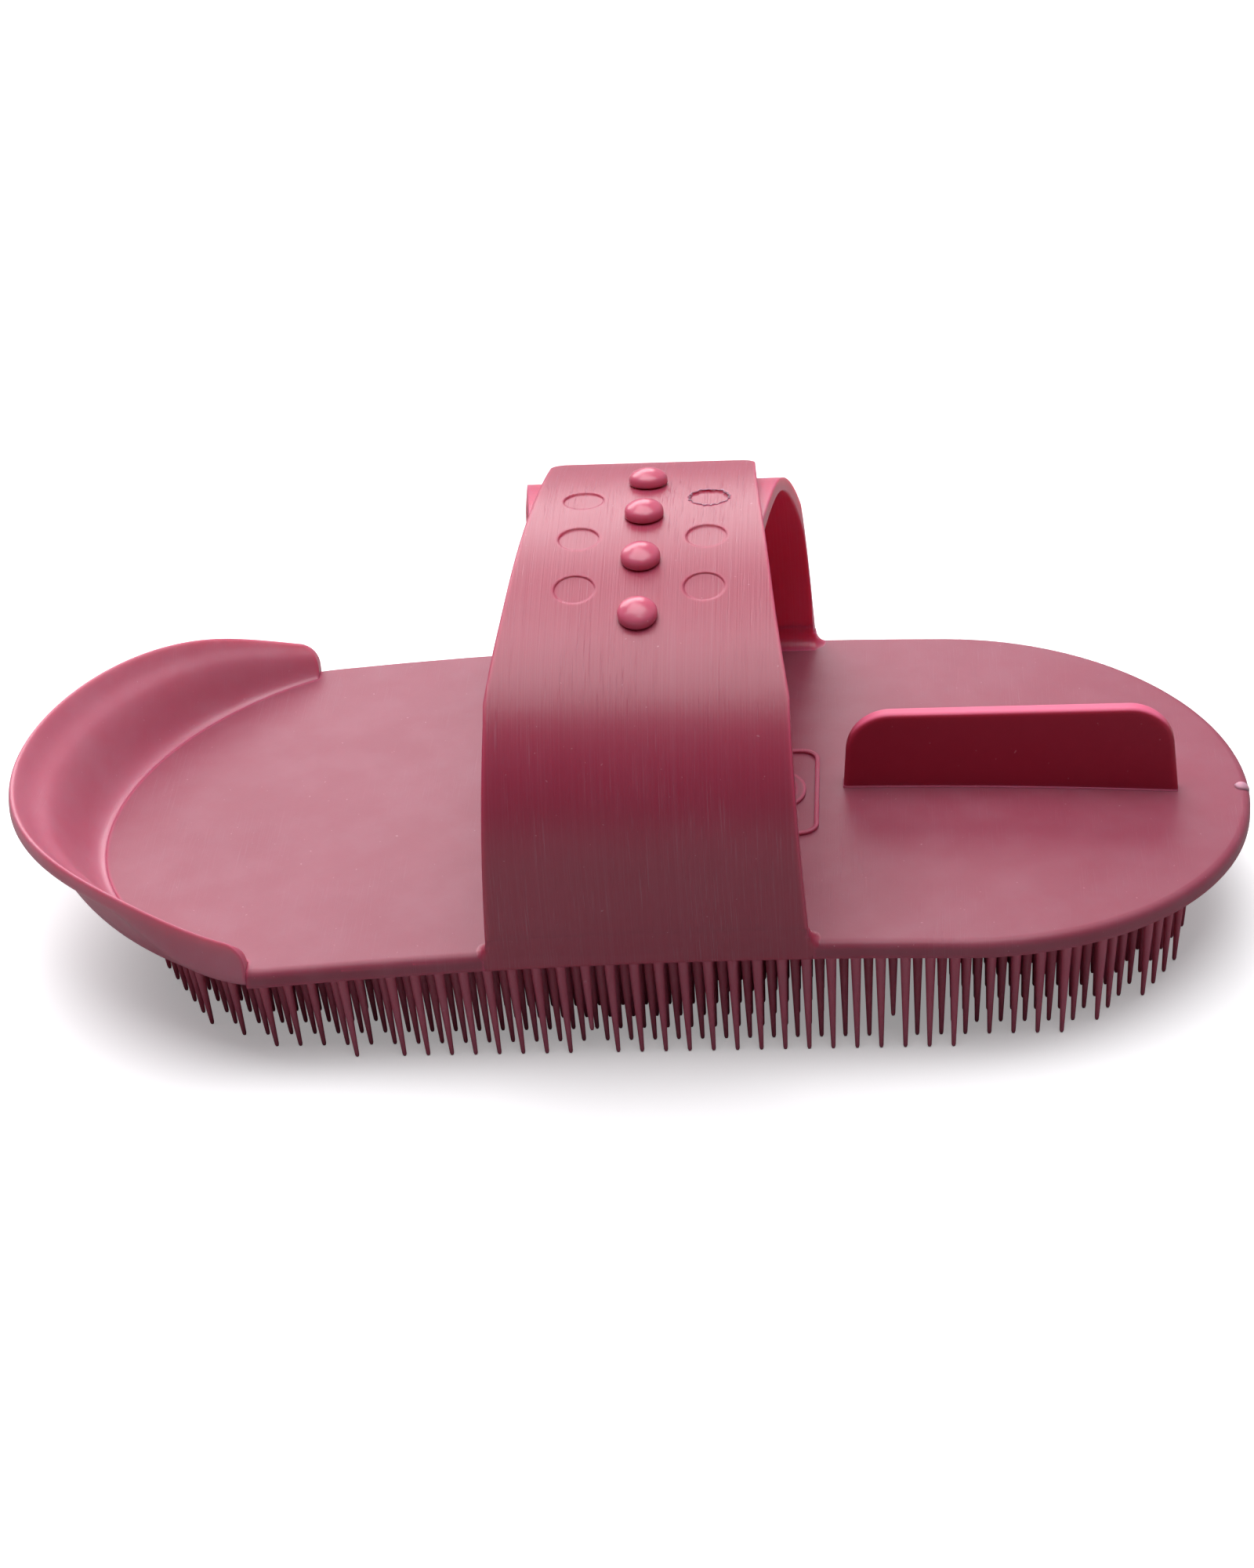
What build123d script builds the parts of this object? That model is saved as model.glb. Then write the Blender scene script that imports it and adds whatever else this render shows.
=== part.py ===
"""Horse curry comb with a hand loop: arched back plate, curled lip, finger fin, cone teeth and two buttoned straps.

Millimetres. X along the length with the lip at -X, -Y the side the upper strap grows from, +Z up.
Origin at the bottom centre of the bounding box; every tooth tip stands on z = 0.
"""

from build123d import *
from math import asin, cos, radians, sin, sqrt
import os

# Overall plan: a stadium with half-round ends.
LENGTH = 190.8
HALF_WIDTH = 45.5
PLATE_THICKNESS = 3.0
PLATE_TOP = 21.0  # height of the plate's top face above the tooth tips, at the crest of the arch
RIM_TOP_RADIUS = 1.2
RIM_BOTTOM_RADIUS = 0.7

# The plate bows upwards a little along its length.
ARCH_RADIUS = 880.0
ARCH_X = 24.0

RIGHT_CENTRE = LENGTH / 2 - HALF_WIDTH
LEFT_CENTRE = -RIGHT_CENTRE

# Curled lip: it rises outside a half round set in from the plate's own end.
LIP_CENTRE = -36.2
LIP_END_X = -53.6
# Angle from the lip's middle: its height over the plate there.
LIP_HEIGHTS = {0: 12.4, 18: 12.4, 32: 12.1, 42: 11.2, 50: 9.7, 57: 7.7, 63: 5.9, 68: 4.6, 72: 4.0}
LIP_END_RADIUS = 4.3
LIP_END_FALL = 15.0

# Finger fin.
FIN_X = (33.3, 84.5)
FIN_Y = -1.0
FIN_HEIGHT = 13.2
FIN_THICKNESS = 2.4
FIN_CORNER = 7.0
FIN_DRAFT = 1.2

# Straps.
STRAP_X = 5.4
STRAP_THICKNESS = 2.0
STRAP_GAP = 0.3
CROWN_HEIGHT = 46.5
CROWN_RADIUS = 82.5
CROWN_Y = 0.5
NEAR_SHOULDER = (20.0, 29.5)  # where it starts, as an angle from the crown's middle, and its radius
FAR_SHOULDER = (11.0, 38.4)
NEAR_END_ANGLE = 17.3
FAR_END_ANGLE = -21.5
NEAR_ROOT_LEAN = 0.22  # outward slope where each strap leaves the rim
FAR_ROOT_LEAN = 0.03
HINGE_DEPTH = 1.5  # hinge axis below the plate's top face
NOTCH_GAP = 0.3
STRAP_CORNER = 3.0
ROOT_HALF = 23.4

# Buttons and moulding marks on the crown.
STUD_ANGLES = (7.7, -0.7, -9.1, -17.6)
STUD_NECK = 4.0
STUD_HOLE = 4.6
STUD_HEAD = 5.8
STUD_HEAD_HEIGHT = 2.2
STUD_HEAD_RIM = 0.5
HEAD_GAP = 0.3
MARK_ANGLES = (3.5, -4.9, -13.4)
MARK_OFFSET = 9.4
MARK_DIAMETER = 6.0
MARK_DEPTH = 0.3

# Teeth: a triangular grid under the plate.
TOOTH_PITCH = 3.6
ROW_PITCH = 3.08
ROW_COUNT = 28
TOOTH_ROOT = 0.85
TOOTH_TIP = 0.32
TIP_LENGTH = 0.3  # the blunt end below the cone
TIP_FLAT = 0.2
TOOTH_INSET = 3.9
FIELD_REACH = 37.5  # how far the tooth field runs past the straight sides at both ends
FIELD_POWER = 2.3
ROOT_CLEARANCE = 0.001  # keeps a flat root disc out of the curved underside
FIRST_TOOTH_X = -33.1
SHORT_TEETH = {(1, 8): 4.0, (2, 21): 3.5}
MISSING_TEETH = {(1, -1)}

# Raised maker's frame, left with a plain horseshoe in it.
BADGE_CENTRE = (23.6, -3.6)
BADGE_SIZE = (12.4, 25.0)
BADGE_RAISE = 0.45
BADGE_LINE = 0.7

GATE_X = 94.1

BIG = 400.0


def arch_z(x, drop=0.0):
    """Height of the arched face that lies `drop` below the plate's top."""
    radius = ARCH_RADIUS - drop
    return PLATE_TOP - ARCH_RADIUS + sqrt(radius**2 - (x - ARCH_X) ** 2)


def arch_solid(upper, lower):
    """Slab between two faces concentric with the arch, given as heights above the plate's top."""
    axis = Plane.XZ.shift_origin((ARCH_X, 0, PLATE_TOP - ARCH_RADIUS))
    with BuildPart() as slab:
        with BuildSketch(axis):
            Circle(ARCH_RADIUS + upper)
            Circle(ARCH_RADIUS + lower, mode=Mode.SUBTRACT)
            Rectangle(LENGTH * 1.3, 2 * ARCH_RADIUS, align=(Align.CENTER, Align.MIN), mode=Mode.INTERSECT)
        extrude(amount=HALF_WIDTH * 1.5, both=True)
    return slab.part


def on_crown(angle, radius):
    """Point (y, z) on a circle about the crown centre, `angle` degrees from straight up towards +Y."""
    centre = PLATE_TOP + CROWN_HEIGHT - CROWN_RADIUS
    return CROWN_Y + radius * sin(radians(angle)), centre + radius * cos(radians(angle))


def band(side, outer_inset, end_angle, root_lean, shoulder):
    """One strap before it is trimmed to width: its profile seen along X, pushed out to both sides.

    The outer face is a flat crown arc, a shoulder arc and a wall down to the rim; `side` is -1 near and +1 far,
    and `outer_inset` is how far the strap's outer face lies inside the near strap's."""
    start, shoulder_radius = shoulder
    inner_inset = outer_inset + STRAP_THICKNESS
    shoulder_y, shoulder_z = on_crown(side * start, CROWN_RADIUS - shoulder_radius)
    radius_out = shoulder_radius - outer_inset
    radius_in = shoulder_radius - inner_inset
    wall_out = shoulder_y + side * radius_out
    wall_in = shoulder_y + side * radius_in
    hinge_y = side * (HALF_WIDTH - STRAP_THICKNESS / 2)
    hinge_z = PLATE_TOP - HINGE_DEPTH
    half = STRAP_THICKNESS / 2
    joint_out = on_crown(side * start, CROWN_RADIUS - outer_inset)
    joint_in = on_crown(side * start, CROWN_RADIUS - inner_inset)
    end_out = on_crown(end_angle, CROWN_RADIUS - outer_inset)
    end_in = on_crown(end_angle, CROWN_RADIUS - inner_inset)
    mid_out = on_crown((end_angle + side * start) / 2, CROWN_RADIUS - outer_inset)
    mid_in = on_crown((end_angle + side * start) / 2, CROWN_RADIUS - inner_inset)
    bend = radians((start + 90) / 2)
    bend_out = (shoulder_y + side * radius_out * sin(bend), shoulder_z + radius_out * cos(bend))
    bend_in = (shoulder_y + side * radius_in * sin(bend), shoulder_z + radius_in * cos(bend))
    lean = root_lean * side
    with BuildPart() as strap:
        with BuildSketch(Plane.YZ):
            with BuildLine():
                ThreePointArc(end_out, mid_out, joint_out)
                ThreePointArc(joint_out, bend_out, (wall_out, shoulder_z))
                Spline(
                    (wall_out, shoulder_z),
                    (hinge_y + side * half, hinge_z),
                    tangents=((0, -1), (-lean, -1)),
                )
                ThreePointArc(
                    (hinge_y + side * half, hinge_z), (hinge_y, hinge_z - half), (hinge_y - side * half, hinge_z)
                )
                Spline(
                    (hinge_y - side * half, hinge_z),
                    (wall_in, shoulder_z),
                    tangents=((lean, 1), (0, 1)),
                )
                ThreePointArc((wall_in, shoulder_z), bend_in, joint_in)
                ThreePointArc(joint_in, mid_in, end_in)
                Line(end_in, end_out)
            make_face()
        extrude(amount=STRAP_X + ROOT_HALF + 4, both=True)
    return strap.part


def strap_outline(side, outer_inset, end_angle):
    """The strap's plan outline: widest at the root, narrowing to a free end with rounded corners."""
    end_y = on_crown(end_angle, CROWN_RADIUS - outer_inset)[0] - side * 0.2
    with BuildPart() as plan:
        with BuildSketch(Plane.XY) as sketch:
            with BuildLine():
                left = [
                    (STRAP_X - 15.6, end_y),
                    (STRAP_X - 16.3, side * -13.0),
                    (STRAP_X - 18.6, side * 13.0),
                    (STRAP_X - 21.5, side * 36.0),
                    (STRAP_X - ROOT_HALF - 0.1, side * 46.0),
                    (STRAP_X - ROOT_HALF - 0.9, side * 52.0),
                ]
                right = [(2 * STRAP_X - x, y) for x, y in reversed(left)]
                Spline(*left)
                Line(left[-1], right[0])
                Spline(*right)
                Line(right[-1], left[0])
            make_face()
            free = [v for v in sketch.vertices() if abs(v.Y - end_y) < 0.01]
            fillet(free, STRAP_CORNER)
        extrude(amount=BIG)
    return plan.part


def strap_front():
    """The strap seen from the front: its walls lean in slightly from the root up to the shoulder."""
    with BuildPart() as front:
        with BuildSketch(Plane.XZ):
            with BuildLine():
                Polyline(
                    (STRAP_X - ROOT_HALF, 0),
                    (STRAP_X - ROOT_HALF, PLATE_TOP),
                    (STRAP_X - ROOT_HALF + 1.7, PLATE_TOP + 34),
                    (STRAP_X - ROOT_HALF + 1.7, PLATE_TOP + 60),
                    (STRAP_X + ROOT_HALF - 1.7, PLATE_TOP + 60),
                    (STRAP_X + ROOT_HALF - 1.7, PLATE_TOP + 34),
                    (STRAP_X + ROOT_HALF, PLATE_TOP),
                    (STRAP_X + ROOT_HALF, 0),
                    close=True,
                )
            make_face()
        extrude(amount=HALF_WIDTH * 1.5, both=True)
    return front.part


def crown_plane(angle, height=0.0, x=STRAP_X):
    """Plane lying on the crown at `angle`, `height` above the near strap's outer face."""
    y, z = on_crown(angle, CROWN_RADIUS + height)
    return Plane(origin=(x, y, z), x_dir=(1, 0, 0), z_dir=(0, sin(radians(angle)), cos(radians(angle))))


def strap(side, outer_inset, end_angle, root_lean, shoulder):
    with BuildPart() as body:
        add(band(side, outer_inset, end_angle, root_lean, shoulder))
        add(strap_outline(side, outer_inset, end_angle), mode=Mode.INTERSECT)
        add(strap_front(), mode=Mode.INTERSECT)
    return body.part


# Back plate -------------------------------------------------------------------------------------------------

with BuildPart() as back_plate:
    add(arch_solid(0, -PLATE_THICKNESS))
    with BuildSketch(Plane.XY):
        SlotOverall(LENGTH, 2 * HALF_WIDTH)
    extrude(amount=BIG, mode=Mode.INTERSECT)
    arched = back_plate.faces().filter_by(GeomType.CYLINDER).sort_by(SortBy.AREA)[-2:]
    upper, lower = sorted(arched, key=lambda face: -face.center().Z)
    fillet(upper.edges(), RIM_TOP_RADIUS)
    under = min(back_plate.faces().filter_by(GeomType.CYLINDER).sort_by(SortBy.AREA)[-2:], key=lambda f: f.center().Z)
    fillet(under.edges(), RIM_BOTTOM_RADIUS)
    # The lip takes over outside its own half round.
    with BuildSketch(Plane.XY):
        with Locations((LIP_END_X, 0)):
            Rectangle(LENGTH, 2 * BIG, align=(Align.MAX, Align.CENTER))
        with Locations((LIP_CENTRE, 0)):
            Circle(HALF_WIDTH, mode=Mode.SUBTRACT)
    extrude(amount=BIG, mode=Mode.SUBTRACT)
    # Slots the strap roots sit in, flush with the rim.
    with BuildSketch(Plane.XY):
        for side in (-1, 1):
            with Locations((STRAP_X, side * HALF_WIDTH)):
                Rectangle(2 * (ROOT_HALF + NOTCH_GAP), 2 * (STRAP_THICKNESS + NOTCH_GAP))
    extrude(amount=BIG, mode=Mode.SUBTRACT)


# Curled lip -------------------------------------------------------------------------------------------------


def lip_reach(angle):
    """Radial width of the lip: from its own half round out to the comb's end."""
    offset = LIP_CENTRE - LEFT_CENTRE
    turn = radians(angle)
    return offset * cos(turn) + sqrt(HALF_WIDTH**2 - (offset * sin(turn)) ** 2) - HALF_WIDTH


def lip_section(angle, height):
    """Section of the lip square to its own half round. Towards its ends the underside flattens into the rim."""
    turn = radians(angle)
    reach = lip_reach(angle)
    curl = min(1.0, max(0.0, (height - 4.0) / 7.0))
    floor = arch_z(LIP_CENTRE - HALF_WIDTH * cos(turn))
    inner = HALF_WIDTH - 1.5
    top = [
        (inner, floor),
        (HALF_WIDTH + 0.03 * reach, floor + 0.02),
        (HALF_WIDTH + 0.30 * reach, floor + 0.30 * height),
        (HALF_WIDTH + 0.58 * reach, floor + 0.72 * height),
        (HALF_WIDTH + 0.86 * reach, floor + 0.97 * height),
        (HALF_WIDTH + reach, floor + height - 1.25),
    ]
    curled = [
        (HALF_WIDTH + 0.84 * reach, floor + height - 2.9),
        (HALF_WIDTH + 0.52 * reach, floor + 0.46 * height - 2.6),
        (HALF_WIDTH + 0.20 * reach, floor + 0.06 * height - 2.9),
    ]
    level = [
        (HALF_WIDTH + 0.96 * reach, floor - 2.2),
        (HALF_WIDTH + 0.70 * reach, floor - 2.9),
        (HALF_WIDTH + 0.30 * reach, floor - PLATE_THICKNESS),
    ]
    under = [(a + (c - a) * curl, b + (d - b) * curl) for (a, b), (c, d) in zip(level, curled)]
    bottom = [top[-1], *under, (inner, floor - PLATE_THICKNESS)]
    radial = Plane(
        origin=(LIP_CENTRE, 0, 0), x_dir=(-cos(turn), sin(turn), 0), z_dir=(sin(turn), cos(turn), 0)
    )
    with BuildSketch(radial) as section:
        with BuildLine():
            Spline(*top, tangents=((1, 0), (0.05, -1)))
            Spline(*bottom, tangents=((-0.05, -1), (-1, 0)))
            Line(bottom[-1], top[0])
        make_face()
    return section.sketch


lip_stations = sorted([(-angle, height) for angle, height in LIP_HEIGHTS.items() if angle] + list(LIP_HEIGHTS.items()))
lip_end_middle = arch_z(LIP_END_X) + 1.13
lip_end_start = (
    LIP_END_X - LIP_END_RADIUS * (1 - sin(radians(LIP_END_FALL))),
    lip_end_middle + LIP_END_RADIUS * cos(radians(LIP_END_FALL)),
)

with BuildPart() as curled_lip:
    loft([lip_section(angle, height).faces()[0] for angle, height in lip_stations])
    with BuildSketch(Plane.XY):
        with Locations((LIP_END_X, 0)):
            Rectangle(LENGTH, 2 * BIG, align=(Align.MIN, Align.CENTER))
        with Locations((LIP_CENTRE, 0)):
            Circle(HALF_WIDTH)
    extrude(amount=BIG, mode=Mode.SUBTRACT)
    # Both ends of its crest are rounded off down to the plate.
    with BuildSketch(Plane.XZ):
        with BuildLine():
            Line(lip_end_start, (lip_end_start[0], BIG))
            Line((lip_end_start[0], BIG), (LIP_END_X + 5, BIG))
            Line((LIP_END_X + 5, BIG), (LIP_END_X + 5, lip_end_middle))
            Line((LIP_END_X + 5, lip_end_middle), (LIP_END_X, lip_end_middle))
            RadiusArc((LIP_END_X, lip_end_middle), lip_end_start, -LIP_END_RADIUS)
        make_face()
    extrude(amount=HALF_WIDTH * 1.5, both=True, mode=Mode.SUBTRACT)


# Finger fin -------------------------------------------------------------------------------------------------

with BuildPart() as finger_fin:
    fin_middle = sum(FIN_X) / 2
    fin_half = (FIN_X[1] - FIN_X[0]) / 2
    fin_base = arch_z(fin_middle) - 2.0
    fin_crest = arch_z(fin_middle) + FIN_HEIGHT
    with BuildSketch(Plane.XZ.offset(-FIN_Y)) as fin_side:
        with BuildLine():
            Polyline(
                (fin_middle - fin_half, fin_base),
                (fin_middle - fin_half + FIN_DRAFT, fin_crest),
                (fin_middle + fin_half - FIN_DRAFT, fin_crest),
                (fin_middle + fin_half, fin_base),
                close=True,
            )
        make_face()
        fillet([v for v in fin_side.vertices() if v.Y > fin_crest - 1], FIN_CORNER)
    extrude(amount=FIN_THICKNESS / 2, both=True)
    fillet(finger_fin.faces().sort_by(Axis.Z)[-1].edges(), 0.6)
    add(arch_solid(0, -BIG / 4), mode=Mode.SUBTRACT)


# Straps -----------------------------------------------------------------------------------------------------

with BuildPart() as near_strap:
    add(strap(-1, 0.0, NEAR_END_ANGLE, NEAR_ROOT_LEAN, NEAR_SHOULDER))
    for angle in STUD_ANGLES:
        with BuildSketch(crown_plane(angle, 2.0)):
            Circle(STUD_HOLE / 2)
        extrude(amount=-STRAP_THICKNESS - 4.0, mode=Mode.SUBTRACT)
    for angle in MARK_ANGLES:
        for offset in (-MARK_OFFSET, MARK_OFFSET):
            with BuildSketch(crown_plane(angle, 1.0, STRAP_X + offset)):
                Circle(MARK_DIAMETER / 2)
            extrude(amount=-1.0 - MARK_DEPTH, mode=Mode.SUBTRACT)

far_inset = STRAP_THICKNESS + STRAP_GAP
far_strap_part = strap(1, far_inset, FAR_END_ANGLE, FAR_ROOT_LEAN, FAR_SHOULDER)


# Studs ------------------------------------------------------------------------------------------------------


def stud(angle):
    """A button: neck through the near strap's hole and a domed head over it, standing on the far strap."""
    seat = -far_inset
    with BuildPart() as button:
        with BuildSketch(crown_plane(angle, seat - 0.5)):
            Circle(STUD_NECK / 2)
        extrude(amount=0.5 - seat + HEAD_GAP + 0.2)
        base = crown_plane(angle, HEAD_GAP)
        with BuildSketch(Plane(origin=base.origin, x_dir=base.x_dir, z_dir=-base.y_dir)):
            with BuildLine():
                Polyline((0, STUD_HEAD_HEIGHT), (0, 0), (STUD_HEAD / 2, 0), (STUD_HEAD / 2, STUD_HEAD_RIM))
                Spline(
                    (STUD_HEAD / 2, STUD_HEAD_RIM),
                    (STUD_HEAD * 0.36, STUD_HEAD_HEIGHT * 0.74),
                    (0, STUD_HEAD_HEIGHT),
                    tangents=((0, 1), (-1, 0)),
                )
            make_face()
        revolve(axis=Axis(base.origin, base.z_dir))
        with BuildSketch(Plane.YZ):
            with Locations((CROWN_Y, PLATE_TOP + CROWN_HEIGHT - CROWN_RADIUS)):
                Circle(CROWN_RADIUS - far_inset)
        extrude(amount=LENGTH / 2, both=True, mode=Mode.SUBTRACT)
    return button.part


# Badge and gate mark ----------------------------------------------------------------------------------------

with BuildPart() as badge:
    with BuildSketch(Plane.XY.offset(PLATE_TOP - 3)):
        with Locations(BADGE_CENTRE):
            RectangleRounded(*BADGE_SIZE, 3.0)
            RectangleRounded(BADGE_SIZE[0] - 2 * BADGE_LINE, BADGE_SIZE[1] - 2 * BADGE_LINE, 2.3, mode=Mode.SUBTRACT)
    extrude(amount=6)
    add(arch_solid(BADGE_RAISE, 0), mode=Mode.INTERSECT)

with BuildPart() as horseshoe:
    with BuildSketch(Plane.XY.offset(PLATE_TOP - 3)):
        with Locations((BADGE_CENTRE[0], BADGE_CENTRE[1] + 0.5)):
            Ellipse(4.2, 5.4)
            Ellipse(2.5, 3.7, mode=Mode.SUBTRACT)
        with Locations((BADGE_CENTRE[0], BADGE_CENTRE[1] - 4.6)):
            Rectangle(3.4, 4.4, mode=Mode.SUBTRACT)
    extrude(amount=6)
    add(arch_solid(BADGE_RAISE, 0), mode=Mode.INTERSECT)

with BuildPart() as gate_mark:
    with Locations((GATE_X, 0, arch_z(GATE_X) - 0.7)):
        Sphere(1.3)
    add(back_plate.part, mode=Mode.SUBTRACT)
    with BuildSketch(Plane.XY):
        Rectangle(2 * LENGTH, 2 * BIG)
    extrude(amount=arch_z(GATE_X) - 1.2, mode=Mode.SUBTRACT)


# Teeth ------------------------------------------------------------------------------------------------------


def tooth(x, y, short=0.0):
    """One cone standing square to the arched underside, its blunt tip cut level at z = 0, or `short` above."""
    radius = ARCH_RADIUS - PLATE_THICKNESS
    lean = asin((x - ARCH_X) / radius)
    base_z = arch_z(x, PLATE_THICKNESS) - ROOT_CLEARANCE
    length = (base_z - short) / cos(lean)
    root = Plane(origin=(x, y, base_z), x_dir=(cos(lean), 0, -sin(lean)), z_dir=(-sin(lean), 0, -cos(lean)))
    stations = ((0.0, TOOTH_ROOT), (length - TIP_LENGTH, TOOTH_TIP), (length + 0.1, TIP_FLAT))
    with BuildPart() as cone:
        for height, size in stations:
            with BuildSketch(Plane.XY.offset(height)):
                Circle(size)
        loft(ruled=True)
    placed = root.location * cone.part
    return placed.split(Plane.XY.offset(short), keep=Keep.TOP)


def under_plate(x, y):
    """Whether a tooth centred here is inside the tooth field, whose ends are a little flatter than the plate's."""
    half = HALF_WIDTH - TOOTH_INSET + 0.05
    if abs(y) > half:
        return False
    past = max(LIP_CENTRE - 1.5 - x, x - RIGHT_CENTRE, 0.0)
    return (past / FIELD_REACH) ** FIELD_POWER + (abs(y) / half) ** FIELD_POWER <= 1.0


def row_places(row):
    """(column, x, y) of every tooth in a row, row 1 nearest -Y."""
    y = (row - (ROW_COUNT + 1) / 2) * ROW_PITCH
    shift = 0.0 if row % 2 else -0.5
    places = []
    for column in range(-20, 42):
        x = FIRST_TOOTH_X + (column + shift) * TOOTH_PITCH
        if under_plate(x, y) and (row, column) not in MISSING_TEETH:
            places.append((column, x, y))
    return places


def support_places():
    """Teeth that carry the comb when it rests: the row ends at both sides and at both tips."""
    chosen = []
    for row in (1, ROW_COUNT):
        places = row_places(row)
        chosen += [(row, places[2][0]), (row, places[-3][0])]
    for row in (ROW_COUNT // 2, ROW_COUNT // 2 + 1):
        places = row_places(row)
        chosen.append((row, places[0][0] if row % 2 else places[-1][0]))
    return set(chosen)


supports = support_places()
nodes = {}
support_teeth = []
for row in range(1, ROW_COUNT + 1):
    teeth = []
    for column, x, y in row_places(row):
        cone = tooth(x, y, SHORT_TEETH.get((row, column), 0.0))
        (support_teeth if (row, column) in supports else teeth).append(cone)
    nodes[f"teeth_row_{row:02d}"] = Compound(children=teeth)
nodes["support_teeth"] = Compound(children=support_teeth)

nodes["back_plate"] = back_plate.part
nodes["curled_lip"] = curled_lip.part
nodes["finger_fin"] = finger_fin.part
nodes["near_strap"] = near_strap.part
nodes["far_strap"] = far_strap_part
nodes["badge_frame"] = badge.part
nodes["badge_horseshoe"] = horseshoe.part
nodes["gate_mark"] = gate_mark.part
for number, angle in enumerate(STUD_ANGLES, 1):
    nodes[f"stud_{number}"] = stud(angle)

os.makedirs("parts", exist_ok=True)
for name, shape in nodes.items():
    shape.label = name
    export_step(shape, f"parts/{name}.step")
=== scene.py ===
"""Looks, light and camera for the horse curry comb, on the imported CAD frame. Metres, +Z up."""

import random
from math import cos, pi, radians, sin, sqrt

import bmesh
import bpy
from mathutils import Matrix, Vector


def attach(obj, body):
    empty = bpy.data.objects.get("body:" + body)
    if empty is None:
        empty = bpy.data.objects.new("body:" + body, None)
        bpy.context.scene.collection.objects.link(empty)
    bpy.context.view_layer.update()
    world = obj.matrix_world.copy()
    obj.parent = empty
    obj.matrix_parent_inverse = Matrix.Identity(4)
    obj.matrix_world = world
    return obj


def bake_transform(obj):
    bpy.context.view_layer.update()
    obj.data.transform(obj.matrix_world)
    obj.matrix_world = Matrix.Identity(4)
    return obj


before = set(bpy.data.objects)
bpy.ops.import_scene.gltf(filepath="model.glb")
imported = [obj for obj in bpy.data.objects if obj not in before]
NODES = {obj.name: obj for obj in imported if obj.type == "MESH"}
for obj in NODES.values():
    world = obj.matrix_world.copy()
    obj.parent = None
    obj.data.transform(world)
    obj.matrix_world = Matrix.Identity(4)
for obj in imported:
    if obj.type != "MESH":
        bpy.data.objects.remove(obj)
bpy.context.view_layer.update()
MM = 0.001
random.seed(11)

# Dimensions shared with the CAD, in millimetres.
PLATE_TOP = 21.0
ARCH_RADIUS = 880.0
ARCH_X = 24.0
HALF_WIDTH = 45.5
PLATE_THICKNESS = 3.0
RIM_RADIUS = 1.2
STRAP_X = 5.4
STRAP_THICKNESS = 2.0
ROOT_HALF = 23.4
FIN_X = (33.3, 84.5)
FIN_Y = -1.0
FIN_THICKNESS = 2.4
CROWN_RADIUS = 82.5
CROWN_Y = 0.5
CROWN_Z = -15.0
MARK_ANGLE = 3.5
MARK_OFFSET = 9.4

# Shape of the straps' walls, as in the CAD: side, inset, lean at the root, shoulder angle, shoulder radius.
NEAR_WALL = (-1, 0.0, 0.22, 20.0, 29.5)
FAR_WALL = (1, 2.3, 0.03, 11.0, 38.4)

# Skin over a strap's root that hides the gap round it, in millimetres.
ROOT_FILLET = 1.9
ROOT_RISE = 4.0
ROOT_SEAT = 1.5
SKIN_COVER = 0.05
SKIN_FADE = 0.14
SKIN_SINK = 0.09
BEND_Y = 44.5


def plate_z(x):
    """Height of the plate's arched top at x, in millimetres."""
    return PLATE_TOP - ARCH_RADIUS + sqrt(ARCH_RADIUS**2 - (x - ARCH_X) ** 2)


# Materials --------------------------------------------------------------------------------------------------


class Nodes:
    """Short names for building a node tree."""

    def __init__(self, tree):
        self.tree = tree

    def add(self, kind, inputs=None, **settings):
        node = self.tree.nodes.new(kind)
        for key, value in settings.items():
            setattr(node, key, value)
        for key, value in (inputs or {}).items():
            if isinstance(value, bpy.types.NodeSocket):
                self.tree.links.new(value, node.inputs[key])
            else:
                node.inputs[key].default_value = value
        return node

    def maths(self, operation, a, b):
        return self.add("ShaderNodeMath", {0: a, 1: b}, operation=operation).outputs[0]

    def mix(self, factor, a, b):
        node = self.add("ShaderNodeMix", {0: factor}, data_type="RGBA", blend_type="MIX")
        for socket, value in ((node.inputs[6], a), (node.inputs[7], b)):
            if isinstance(value, bpy.types.NodeSocket):
                self.tree.links.new(value, socket)
            else:
                socket.default_value = value
        return node.outputs[2]

    def ramp(self, value, low, high):
        """0 below low and 1 above high, with a soft step between."""
        limits = {0: value, 1: low, 2: high, 3: 0.0, 4: 1.0}
        return self.add("ShaderNodeMapRange", limits, interpolation_type="SMOOTHSTEP").outputs[0]

    def noise(self, place, scale, stretch=(1, 1, 1), turn=(0, 0, 0), detail=3.0):
        """Noise of scale grains to the metre, drawn out by stretch and turned by turn."""
        sizes = tuple(scale * s for s in stretch)
        mapped = self.add("ShaderNodeMapping", {"Vector": place, "Rotation": turn, "Scale": sizes})
        node = self.add("ShaderNodeTexNoise", {"Vector": mapped.outputs[0], "Scale": 1.0, "Detail": detail})
        return node.outputs["Fac"]


PINK = (0.37, 0.016, 0.058, 1)
# Whitish chalky bloom, also used for scratches and streaks, and laid on in part as painted sheen.
CHALK_AND_SHEEN = (0.60, 0.42, 0.51, 1)
SPECK = (0.80, 0.42, 0.50, 1)
# Painted light: the glow colour of thin edges and the highlight colour of upward faces.
PAINTED_EDGE_GLOW = (0.80, 0.09, 0.20, 1)
LIT_CREST = (0.85, 0.16, 0.29, 1)
CLOUD_SHADE = (0.97, 0.95, 0.95, 1)
SCRATCH_TURNS = (0.62, 0.74, 0.86)


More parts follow.
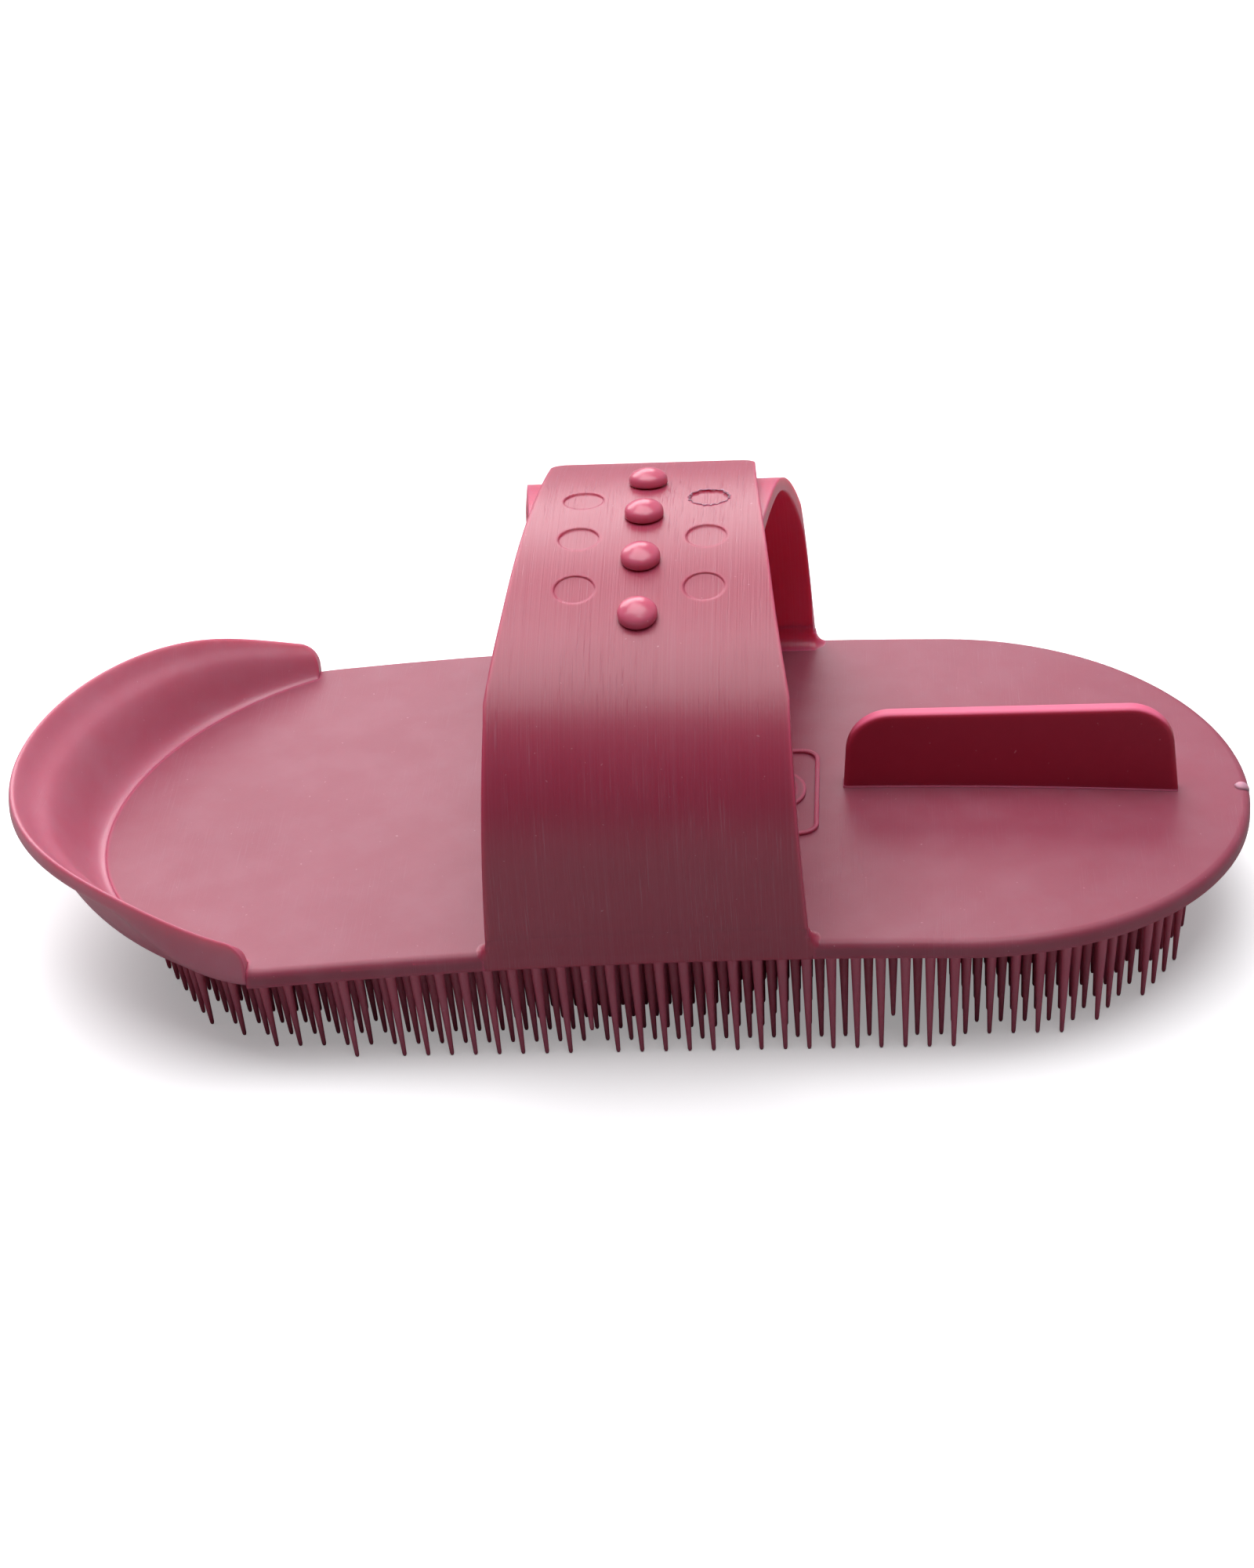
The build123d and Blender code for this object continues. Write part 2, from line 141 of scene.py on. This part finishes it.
def plastic(
    name,
    colour,
    roughness,
    lines=0.0,
    scratches=0.0,
    rim_glow=0.5,
    grain=0.5,
    bloom_and_sheen=0.10,
    see=0.3,
    upward_glow=0.0,
    clear=1.6,
):
    """Soft dyed polyethylene. lines are the drawn lines along a strap; rim_glow is how much painted glow its thin
    edges get and upward_glow how much painted highlight its upward faces get; grain is the fine relief;
    bloom_and_sheen is how much chalky bloom lies on it, partly real and partly painted sheen; see is how much light
    goes through it and clear its refractive index."""
    material = bpy.data.materials.new(name)
    material.use_nodes = True
    tree = material.node_tree
    tree.nodes.clear()
    n = Nodes(tree)
    place = n.add("ShaderNodeTexCoord").outputs["Object"]

    # Colour: slight clouds, a chalky bloom that is thicker in patches and is partly a painted sheen, and pale
    # specks.
    clouds = n.noise(place, 42, detail=4.0)
    patches = n.noise(place, 130, turn=(0.3, 0.2, 0.9), detail=5.0)
    fine = n.noise(place, 2600, detail=2.0)
    shaded = tuple(c * k for c, k in zip(colour, CLOUD_SHADE))
    tone = n.mix(n.ramp(clouds, 0.38, 0.66), colour, shaded)
    bloom_sheen_mask = n.maths("MULTIPLY", n.ramp(patches, 0.30, 0.80), 0.35 * bloom_and_sheen)
    bloom_sheen_mask = n.maths("ADD", bloom_sheen_mask, bloom_and_sheen * 0.82)
    tone = n.mix(bloom_sheen_mask, tone, CHALK_AND_SHEEN)
    specks = n.ramp(n.noise(place, 1500, turn=(0.5, 1.0, 0.2), detail=1.0), 0.77, 0.81)
    tone = n.mix(n.maths("MULTIPLY", specks, 0.25), tone, SPECK)

    # Painted light: thin edges get a painted glow in a saturated colour, and upward faces a painted highlight in
    # the lit crest colour.
    soft = n.add("ShaderNodeBevel", {"Radius": 0.0006}, samples=6).outputs[0]
    wide = n.add("ShaderNodeBevel", {"Radius": 0.0012}, samples=4).outputs[0]
    hard = n.add("ShaderNodeNewGeometry").outputs["Normal"]
    bend = n.add("ShaderNodeVectorMath", {0: wide, 1: hard}, operation="DOT_PRODUCT").outputs["Value"]
    rim = n.ramp(n.maths("SUBTRACT", 1.0, bend), 0.01, 0.22)
    tone = n.mix(n.maths("MULTIPLY", rim, rim_glow), tone, PAINTED_EDGE_GLOW)
    if upward_glow:
        upward = n.add("ShaderNodeSeparateXYZ", {0: soft}).outputs[2]
        tone = n.mix(n.maths("MULTIPLY", n.ramp(upward, 0.35, 0.85), upward_glow), tone, LIT_CREST)

    # Relief and gloss: grain all over, lines drawn along the straps, and scratches across them.
    height = n.maths("MULTIPLY", fine, 0.25 * grain)
    height = n.maths("ADD", height, n.maths("MULTIPLY", n.noise(place, 520, detail=3.0), 0.5 * grain))
    rough = n.maths("ADD", roughness - 0.05, n.maths("MULTIPLY", clouds, 0.07))
    rough = n.maths("ADD", rough, n.maths("MULTIPLY", fine, 0.05))
    if lines:
        drawn = n.noise(place, 1.0, stretch=(3600, 20, 20), detail=4.0)
        height = n.maths("ADD", height, n.maths("MULTIPLY", drawn, lines))
        streak = n.ramp(n.noise(place, 1.0, stretch=(5200, 15, 15), turn=(0, 0, 0.02)), 0.40, 0.80)
        tone = n.mix(n.maths("MULTIPLY", streak, 0.05), tone, CHALK_AND_SHEEN)
    if scratches:
        for turn in SCRATCH_TURNS:
            cut = n.ramp(n.noise(place, 1.0, stretch=(4600, 90, 90), turn=(0, 0, turn), detail=1.0), 0.64, 0.70)
            where = n.ramp(n.noise(place, 70, turn=(turn, 0, 0), detail=2.0), 0.46, 0.62)
            mark = n.maths("MULTIPLY", cut, where)
            height = n.maths("SUBTRACT", height, n.maths("MULTIPLY", mark, scratches))
            tone = n.mix(n.maths("MULTIPLY", mark, 0.12 * scratches), tone, CHALK_AND_SHEEN)
    bump = n.add("ShaderNodeBump", {"Height": height, "Strength": 0.35, "Distance": 0.00012, "Normal": soft})

    shader = n.add(
        "ShaderNodeBsdfPrincipled",
        {"Base Color": tone, "Roughness": rough, "Normal": bump.outputs[0]},
        subsurface_method="RANDOM_WALK",
    )
    shader.inputs["Subsurface Weight"].default_value = see
    shader.inputs["Subsurface Radius"].default_value = (1.0, 0.10, 0.18)
    shader.inputs["Subsurface Scale"].default_value = 0.004
    shader.inputs["IOR"].default_value = clear
    output = n.add("ShaderNodeOutputMaterial")
    tree.links.new(shader.outputs[0], output.inputs["Surface"])
    return material


# Painted light and shade: all parts are one pink plastic, but each gets its own base colour and bloom, lighter for
# the lip, far strap, studs and teeth, darker for the plate, and deeper and more saturated for the fin.
plate_plastic = plastic(
    "plate_plastic", (0.28, 0.013, 0.046, 1), 0.46, scratches=0.25, rim_glow=0.85, bloom_and_sheen=0.14, clear=1.45
)
lip_plastic = plastic("lip_plastic", (0.52, 0.040, 0.102, 1), 0.37, scratches=0.10, rim_glow=0.55, bloom_and_sheen=0.27)
strap_plastic = plastic("strap_plastic", PINK, 0.35, lines=1.1, scratches=0.9, rim_glow=0.65, bloom_and_sheen=0.055)
far_plastic = plastic("far_plastic", (0.60, 0.030, 0.115, 1), 0.36, lines=0.9, rim_glow=0.60, bloom_and_sheen=0.07, see=0.8)
fin_plastic = plastic(
    "fin_plastic", (0.38, 0.008, 0.040, 1), 0.50, rim_glow=0.60, grain=1.1, bloom_and_sheen=0.015, upward_glow=0.9, clear=1.45
)
stud_plastic = plastic("stud_plastic", (0.64, 0.060, 0.140, 1), 0.24, rim_glow=0.10, grain=0.2, bloom_and_sheen=0.14)
tooth_plastic = plastic("tooth_plastic", (0.56, 0.048, 0.115, 1), 0.42, rim_glow=0.0, grain=0.5, bloom_and_sheen=0.18)
burr_plastic = plastic("burr_plastic", (0.74, 0.200, 0.300, 1), 0.50, rim_glow=0.0, grain=1.0, bloom_and_sheen=0.50)


# Start of a node's name: its material. Anything else is plate_plastic.
MATERIALS = {
    "teeth": tooth_plastic,
    "support_teeth": tooth_plastic,
    "stud": stud_plastic,
    "far_strap": far_plastic,
    "near_strap": strap_plastic,
    "finger_fin": fin_plastic,
    "curled_lip": lip_plastic,
    "gate_mark": burr_plastic,
}

for name, node in NODES.items():
    material = next((m for start, m in MATERIALS.items() if name.startswith(start)), plate_plastic)
    node.data.materials.clear()
    node.data.materials.append(material)


# Pieces -----------------------------------------------------------------------------------------------------


def mesh_piece(name, points, faces, material):
    mesh = bpy.data.meshes.new(name)
    mesh.from_pydata([Vector(p) * MM for p in points], [], faces)
    bm = bmesh.new()
    bm.from_mesh(mesh)
    bmesh.ops.recalc_face_normals(bm, faces=bm.faces)
    bm.to_mesh(mesh)
    bm.free()
    for polygon in mesh.polygons:
        polygon.use_smooth = True
    mesh.materials.append(material)
    ob = bpy.data.objects.new(name, mesh)
    bpy.context.scene.collection.objects.link(ob)
    return ob


def lofted(name, sections, material, closed_ends=True):
    """Skin over closed sections that have the same number of points."""
    count = len(sections[0])
    points = [p for section in sections for p in section]
    faces = []
    for i in range(len(sections) - 1):
        for j in range(count):
            k = (j + 1) % count
            faces.append((i * count + j, i * count + k, (i + 1) * count + k, (i + 1) * count + j))
    if closed_ends:
        faces.append(tuple(range(count)))
        faces.append(tuple((len(sections) - 1) * count + j for j in range(count)))
    return mesh_piece(name, points, faces, material)


WALL_STEPS = 40


def strap_faces(side, inset, lean, start, shoulder):
    """Outer and inner face of a strap's wall as lists of (height, distance from the middle), in millimetres.
    Each is a smooth curve that leaves the rim at the given lean and arrives upright at the shoulder."""
    shoulder_z = CROWN_Z + (CROWN_RADIUS - shoulder) * cos(radians(start))
    wall = side * CROWN_Y + (CROWN_RADIUS - shoulder) * sin(radians(start)) + shoulder - inset
    faces = []
    for depth in (0.0, STRAP_THICKNESS):
        foot = Vector((HALF_WIDTH - depth, PLATE_TOP - ROOT_SEAT))
        head = Vector((wall - depth, shoulder_z))
        length = (head - foot).length
        leave = Vector((lean, 1)).normalized() * length
        arrive = Vector((0, 1)) * length
        table = []
        for i in range(WALL_STEPS + 1):
            t = i / WALL_STEPS
            point = (2 * t**3 - 3 * t**2 + 1) * foot + (t**3 - 2 * t**2 + t) * leave
            point += (3 * t**2 - 2 * t**3) * head + (t**3 - t**2) * arrive
            table.append((point.y, point.x))
        faces.append(table)
    return faces


def along(table, z):
    """Distance from the middle at height z."""
    for (z0, a), (z1, b) in zip(table, table[1:]):
        if z0 <= z <= z1:
            return a + (b - a) * (z - z0) / max(z1 - z0, 1e-6)
    return table[0][1] if z < table[0][0] else table[-1][1]


OUTER_STEPS = 9
INNER_STEPS = 7
FILLET_STEPS = 7


def root_section(x, rise, share, faces, side):
    """Section of the moulded root where a strap grows out of the rim. rise is its height over the plate; share
    goes from 1 under the strap to 0 where only the rim is left."""
    outer, inner = faces
    top = plate_z(x)
    under = top - PLATE_THICKNESS
    flush = HALF_WIDTH - 0.02
    rim_centre = (flush - RIM_RADIUS, top - 0.03 - RIM_RADIUS)

    # Up the outer face, and the rounded rim beside it.
    strap = [(HALF_WIDTH + SKIN_COVER, top - ROOT_SEAT)]
    rim = [(flush, top - ROOT_SEAT)]
    for i in range(1, OUTER_STEPS + 1):
        f = i / OUTER_STEPS
        z = top - ROOT_SEAT + (rise + ROOT_SEAT) * f
        lift = SKIN_COVER if f < 0.7 else SKIN_COVER - SKIN_FADE * (f - 0.7) / 0.3
        strap.append((along(outer, z) + lift, z))
        turn = pi / 2 * f
        rim.append((rim_centre[0] + RIM_RADIUS * cos(turn), rim_centre[1] + RIM_RADIUS * sin(turn)))

    # Down the inner face to the top of the fillet.
    for i in range(INNER_STEPS + 1):
        f = i / INNER_STEPS
        z = top + rise - (rise - ROOT_FILLET) * f
        lift = SKIN_FADE * min(1.0, f * 2.5) - SKIN_SINK
        strap.append((along(inner, z) - lift, z))
        rim.append((44.3 - 0.5 * f, top - 0.03))

    # Round the fillet onto the plate, and back underneath.
    foot = along(inner, top + ROOT_FILLET) - SKIN_COVER
    for i in range(1, FILLET_STEPS + 1):
        turn = pi / 2 * i / FILLET_STEPS
        strap.append((foot - ROOT_FILLET * (1 - cos(turn)), top + 0.02 + ROOT_FILLET * (1 - sin(turn))))
        rim.append((43.8 - 2.0 * i / FILLET_STEPS, top - 0.03))
    strap.append((strap[-1][0] - 0.5, top - 0.04))
    rim.append((41.3, top - 0.06))
    for y, z in ((41.3, top - 0.6), (43.0, under + 0.4), (43.3, under - 0.02), (44.9, under - 0.02)):
        strap.append((y, z))
        rim.append((y, z + 0.05))
    strap += [(45.35, under + 0.16), (HALF_WIDTH + 0.03, under + 0.6)]
    rim += [(45.25, under + 0.22), (flush, under + 0.75)]

    return [(x, side * (b + (a - b) * share), y + (z - y) * share) for (a, z), (b, y) in zip(strap, rim)]


FOOT_STEPS = 12
STRAP_STEPS = 24
STRAP_EDGE = 0.30
BODY_EDGE = 0.36


def strap_root(name, wall, material):
    side = wall[0]
    faces = strap_faces(*wall)
    left, right = STRAP_X - ROOT_HALF, STRAP_X + ROOT_HALF
    feet = []
    for i in range(FOOT_STEPS + 1):
        gap = ROOT_FILLET * i / FOOT_STEPS
        rise = ROOT_FILLET - sqrt(max(ROOT_FILLET**2 - (ROOT_FILLET - gap) ** 2, 0))
        feet.append((gap, rise / ROOT_FILLET))

    sections = [root_section(left - gap, ROOT_FILLET, share, faces, side) for gap, share in reversed(feet)]
    sections.append(root_section(left + STRAP_EDGE, ROOT_FILLET, 1.0, faces, side))
    for i in range(STRAP_STEPS + 1):
        x = left + BODY_EDGE + (right - left - 2 * BODY_EDGE) * i / STRAP_STEPS
        sections.append(root_section(x, ROOT_RISE, 1.0, faces, side))
    sections.append(root_section(right - STRAP_EDGE, ROOT_FILLET, 1.0, faces, side))
    sections += [root_section(right + gap, ROOT_FILLET, share, faces, side) for gap, share in feet]

    piece = lofted(name, sections, material)
    x, y = STRAP_X * MM, side * BEND_Y * MM
    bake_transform(piece)


strap_root("near_root", NEAR_WALL, strap_plastic)
strap_root("far_root", FAR_WALL, far_plastic)


TUBE_SIDES = 6


def tube(name, path, radii, material, body):
    """Closed bead of round section along a closed path of points."""
    count = len(path)
    sections = []
    for i, radius in enumerate(radii):
        here = Vector(path[i])
        ahead = (Vector(path[(i + 1) % count]) - Vector(path[i - 1])).normalized()
        side = ahead.cross(Vector((0, 0, 1))).normalized()
        up = side.cross(ahead)
        turns = [2 * pi * k / TUBE_SIDES for k in range(TUBE_SIDES)]
        sections.append([tuple(here + (side * cos(turn) + up * sin(turn)) * radius) for turn in turns])
    sections.append(sections[0])
    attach(lofted(name, sections, material, closed_ends=False), body)


BEAD_STEPS = 48
BEAD_RADIUS = 0.22
BEAD_SET_IN = 0.3


def fin_bead():
    """The small fillet where the fin meets the plate."""
    length = FIN_X[1] - FIN_X[0] - 2 * BEAD_SET_IN
    path = []
    for i in range(BEAD_STEPS + 1):
        x = FIN_X[0] + BEAD_SET_IN + length * i / BEAD_STEPS
        path.append((x, FIN_Y - FIN_THICKNESS / 2, plate_z(x) + 0.02))
    for i in range(BEAD_STEPS + 1):
        x = FIN_X[1] - BEAD_SET_IN - length * i / BEAD_STEPS
        path.append((x, FIN_Y + FIN_THICKNESS / 2, plate_z(x) + 0.02))
    tube("fin_bead", path, [BEAD_RADIUS] * len(path), plate_plastic, "comb")


fin_bead()

BURR_STEPS = 56
BURR_RADIUS = 2.95
BURR_RAGGED = (-0.20, 0.24)
BURR_WIDTH = (0.05, 0.17)


def burr_ring():
    """Ragged flash left round one ejector mark of the upper strap."""
    angle = radians(MARK_ANGLE)
    centre_x = STRAP_X + MARK_OFFSET
    centre_y = CROWN_Y + CROWN_RADIUS * sin(angle)
    path = []
    radii = []
    for i in range(BURR_STEPS):
        turn = 2 * pi * i / BURR_STEPS
        reach = BURR_RADIUS + random.uniform(*BURR_RAGGED)
        y = centre_y + cos(angle) * sin(turn) * reach
        z = CROWN_Z + sqrt(CROWN_RADIUS**2 - (y - CROWN_Y) ** 2)
        path.append((centre_x + cos(turn) * reach, y, z + 0.02))
        radii.append(random.uniform(*BURR_WIDTH))
    tube("burr_ring", path, radii, burr_plastic, "upper_strap")


burr_ring()

# Stage, light and camera ------------------------------------------------------------------------------------

FLOOR_SIZE = 12
FLOOR_SEEN = (0.95, 0.95, 0.95, 1)
FLOOR_LIT = (0.40, 0.39, 0.39, 1)
FLOOR_GLOW = 0.28
SKY_SEEN = (0.97, 0.97, 0.97, 1)
SKY_DARK = (0.06, 0.06, 0.065, 1)
SKY_BRIGHT = (0.42, 0.42, 0.45, 1)
SKY_DIRECTION = (0.0, 0.60, 0.80)

# The floor looks white to the camera, but throws less light back at the comb.
floor_material = bpy.data.materials.new("floor")
floor_material.use_nodes = True
floor_tree = floor_material.node_tree
ground = Nodes(floor_tree)
floor_shader = floor_tree.nodes["Principled BSDF"]
direct = ground.add("ShaderNodeLightPath").outputs["Is Camera Ray"]
floor_tree.links.new(ground.mix(direct, FLOOR_LIT, FLOOR_SEEN), floor_shader.inputs["Base Color"])
floor_tree.links.new(ground.maths("MULTIPLY", direct, FLOOR_GLOW), floor_shader.inputs["Emission Strength"])
floor_shader.inputs["Emission Color"].default_value = (1.0, 1.0, 1.0, 1)
floor_shader.inputs["Roughness"].default_value = 0.9
bpy.ops.mesh.primitive_plane_add(size=FLOOR_SIZE, location=(0, 0, -0.0001))
floor = bpy.context.object
floor.name = "floor"
floor.data.materials.append(floor_material)

# The sky is brightest above and behind the comb.
world = bpy.data.worlds.new("world")
bpy.context.scene.world = world
world.use_nodes = True
world.node_tree.nodes.clear()
sky = Nodes(world.node_tree)
direction = sky.add("ShaderNodeTexCoord").outputs["Generated"]
facing = sky.add("ShaderNodeVectorMath", {0: direction, 1: SKY_DIRECTION}, operation="DOT_PRODUCT").outputs["Value"]
glow = sky.mix(sky.ramp(facing, 0.0, 0.9), SKY_DARK, SKY_BRIGHT)
seen = sky.add("ShaderNodeLightPath").outputs["Is Camera Ray"]
background = sky.add("ShaderNodeBackground", {"Color": sky.mix(seen, glow, SKY_SEEN), "Strength": 1.0})
world.node_tree.links.new(background.outputs[0], sky.add("ShaderNodeOutputWorld").inputs["Surface"])

LIGHT_AIM = (0, 0, 0.03)


def softbox(name, place, size, power):
    data = bpy.data.lights.new(name, "AREA")
    data.shape = "RECTANGLE"
    data.size, data.size_y = size
    data.energy = power
    data.color = (1.0, 0.985, 1.0)
    ob = bpy.data.objects.new(name, data)
    ob.location = place
    ob.rotation_euler = (Vector(LIGHT_AIM) - Vector(place)).to_track_quat("-Z", "Y").to_euler()
    bpy.context.scene.collection.objects.link(ob)


softbox("back_box", (-0.30, 0.95, 0.66), (1.05, 0.6), 7.6)
softbox("top_box", (-0.05, 0.03, 1.00), (0.9, 1.12), 10.5)

# The camera looks at the comb from the front, a little from the right and tilted.
ELEVATION, AZIMUTH, ROLL, DISTANCE = radians(30.84), radians(5.08), radians(3.93), 0.582
AIM = Vector((0, 0, 0.020))
RAISED = 0.00095

camera_data = bpy.data.cameras.new("camera")
camera_data.sensor_width = 36.0
camera_data.lens = 86.45
camera = bpy.data.objects.new("camera", camera_data)
bpy.context.scene.collection.objects.link(camera)
bpy.context.scene.camera = camera
back = Vector((sin(AZIMUTH) * cos(ELEVATION), -cos(AZIMUTH) * cos(ELEVATION), sin(ELEVATION)))
right = Vector((cos(AZIMUTH), sin(AZIMUTH), 0))
up = back.cross(right)
tilted_right = right * cos(ROLL) - up * sin(ROLL)
tilted_up = up * cos(ROLL) + right * sin(ROLL)
axes = Matrix((tilted_right, tilted_up, back)).transposed().to_4x4()
camera.matrix_world = Matrix.Translation(AIM + tilted_up * RAISED + back * DISTANCE) @ axes
camera_data.clip_start = 0.01
camera_data.clip_end = 50

bpy.context.scene.view_settings.view_transform = "Standard"
bpy.context.view_layer.update()
